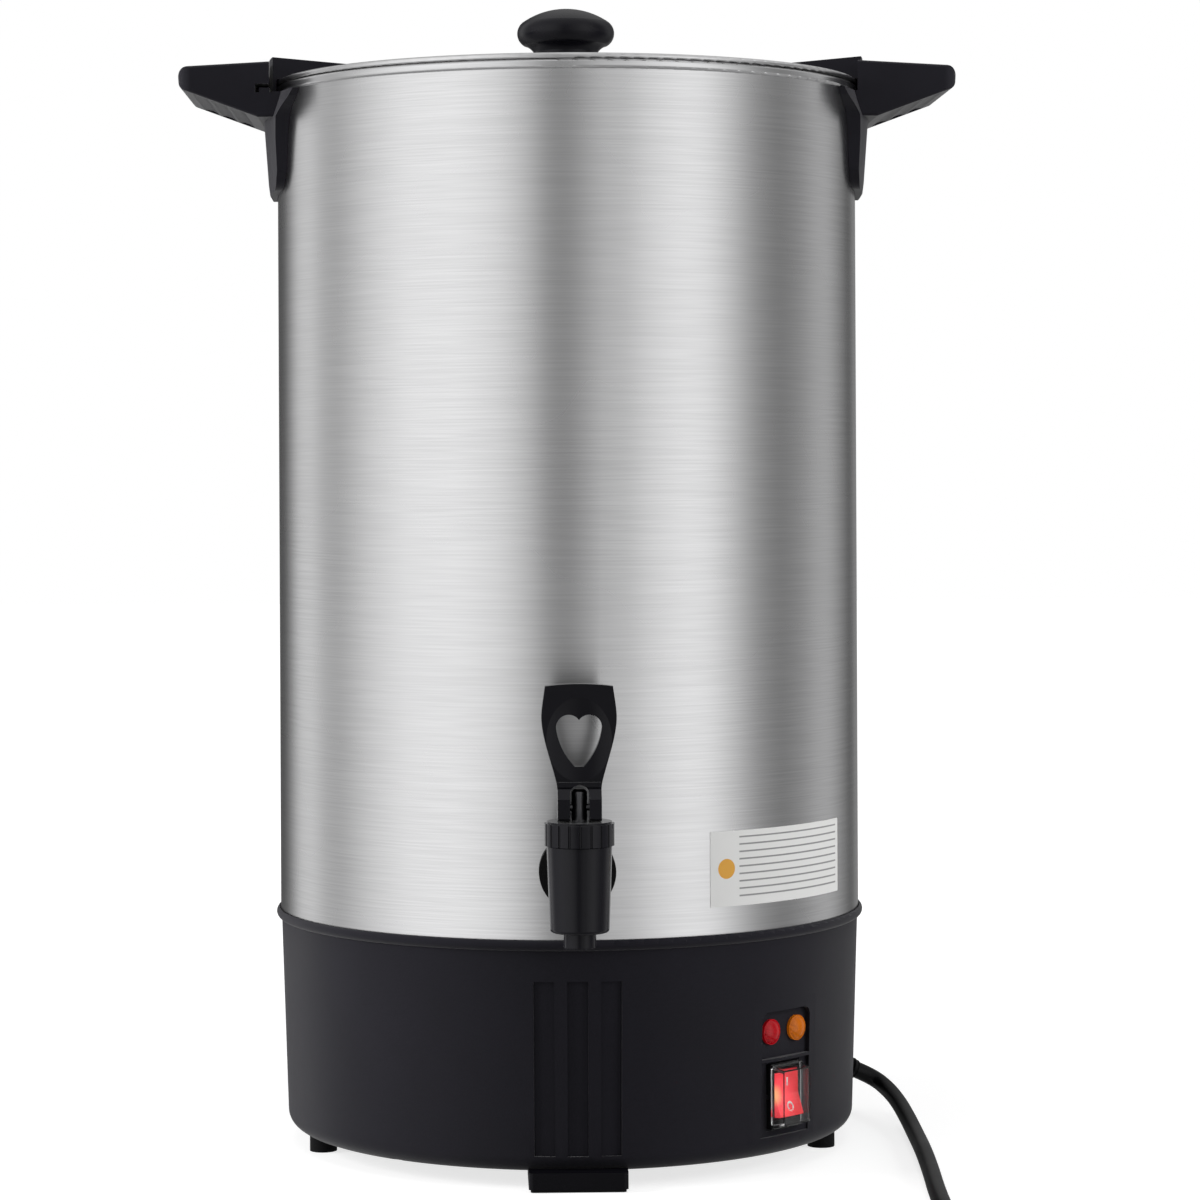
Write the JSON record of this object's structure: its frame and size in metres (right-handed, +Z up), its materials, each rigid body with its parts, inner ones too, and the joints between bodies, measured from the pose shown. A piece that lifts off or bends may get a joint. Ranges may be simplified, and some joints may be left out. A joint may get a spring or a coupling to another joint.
{
  "type": "percolating coffee urn",
  "caption": "Tall cylindrical steel coffee urn with twist-lock lid, side handles, lever tap, black base, covered rocker switch, pilot lamps and mains cord.",
  "frame": {"origin": "on the table under the pot's axis", "axes": "+Z up, the tap faces -Y, +X is on the right hand of someone who stands at the tap"},
  "size_m": [0.3436, 0.4673, 0.5076],
  "materials": {
    "housing": "satin, fine grain",
    "handle_black": "satin",
    "knob_black": "smooth satin",
    "tap_black": "semi-gloss",
    "pot_steel": "fine horizontal brushing",
    "lid_steel": "brushed",
    "plate_steel": "black paint",
    "bright_steel": "plain",
    "aluminium": "plain",
    "element": "dull sheath",
    "rubber": "matte",
    "foot_black": "satin",
    "gasket": "silicone",
    "nut_plastic": "plain",
    "control": "phenolic",
    "brass": "plain",
    "rocker_red": "translucent red, lit",
    "cover_clear": "clear soft plastic",
    "lens_red": "red lens",
    "lens_amber": "amber lens",
    "cord_black": "matte vinyl",
    "wire": "glass-braid sleeve"
  },
  "bodies": {
    "urn": {"base_housing": "housing", "handle_right": "handle_black", "handle_left": "handle_black", "tap_body": "tap_black", "tap_bonnet": "tap_black", "pot_shell": "pot_steel", "pot_floor": "pot_steel", "base_plate": "plate_steel", "tie_rods": "plate_steel", "tie_nuts": "bright_steel", "foot_screws": "bright_steel", "clamp_studs": "bright_steel", "handle_screws": "bright_steel", "tap_spring": "bright_steel", "switch_pin": "bright_steel", "element_clamp": "bright_steel", "heater_plate": "aluminium", "heating_element": "element", "rubber_feet": "rubber", "front_foot_pad": "rubber", "front_foot": "foot_black", "handle_gaskets": "gasket", "tap_flange_washer": "gasket", "tap_inner_washer": "gasket", "tap_nut": "nut_plastic", "thermostat": "control", "thermal_cutout": "control", "switch_housing": "control", "pilot_bodies": "control", "terminal_block": "control", "switch_terminals": "brass", "plug_blades": "brass", "switch_cover": "cover_clear", "pilot_lens_red": "lens_red", "pilot_lens_amber": "lens_amber", "power_cord": "cord_black", "cord_coil": "cord_black", "cord_gland": "cord_black", "plug_body": "cord_black", "supply_leads": "wire", "switch_leads": "wire"},
    "lid_knob": {"lid_knob": "knob_black", "knob_washer": "gasket", "knob_screw": "bright_steel"},
    "lid": {"lid_panel": "lid_steel", "lid_lug_left": "handle_black", "lid_lug_right": "handle_black", "lid_lug_rivets": "bright_steel"},
    "brew_tube": {"pump_tube": "aluminium", "pump_foot": "bright_steel"},
    "basket": {"coffee_basket": "aluminium"},
    "cover": {"basket_cover": "aluminium"},
    "tap_stem": {"tap_stem": "bright_steel", "tap_seat_cup": "gasket", "tap_pivot_pin": "bright_steel"},
    "tap_lever": {"tap_lever": "tap_black"},
    "switch_rocker": {"switch_rocker": "rocker_red"}
  },
  "joints": [
    {"name": "lid_lift", "type": "slide", "parent": "urn", "child": "lid_knob", "axis": [0, 0, 1], "range_m": [0, 0.5]},
    {"name": "lid_twist", "type": "hinge", "parent": "lid_knob", "child": "lid", "pos_m": [0, 0, 0.475], "axis": [0, 0, 1], "range_deg": [0, 13]},
    {"name": "brew_lift", "type": "slide", "parent": "urn", "child": "brew_tube", "axis": [0, 0, 1], "range_m": [0, 0.4]},
    {"name": "basket_lift", "type": "slide", "parent": "brew_tube", "child": "basket", "axis": [0, 0, 1], "range_m": [0, 0.06]},
    {"name": "cover_lift", "type": "slide", "parent": "basket", "child": "cover", "axis": [0, 0, 1], "range_m": [0, 0.03]},
    {"name": "stem_lift", "type": "slide", "parent": "urn", "child": "tap_stem", "axis": [0, 0, 1], "range_m": [0, 0.003], "stiffness_N_per_m": 200, "springref_m": -0.005, "deforming": ["tap_spring"]},
    {"name": "lever_tilt", "type": "hinge", "parent": "tap_stem", "child": "tap_lever", "pos_m": [0, -0.164, 0.163], "axis": [1, 0, 0], "range_deg": [0, 35]},
    {"name": "switch_rock", "type": "hinge", "parent": "urn", "child": "switch_rocker", "pos_m": [0.08874, -0.08874, 0.0324], "axis": [0.7071, 0.7071, 0], "range_deg": [0, 20]}
  ],
  "couplings": [
    {"joint": "brew_lift", "follows": "lid_lift", "ratio": 0.8},
    {"joint": "basket_lift", "follows": "lid_lift", "ratio": 0.12},
    {"joint": "cover_lift", "follows": "lid_lift", "ratio": 0.06},
    {"joint": "lever_tilt", "follows": "stem_lift", "rad_per_m": 203.67}
  ]
}
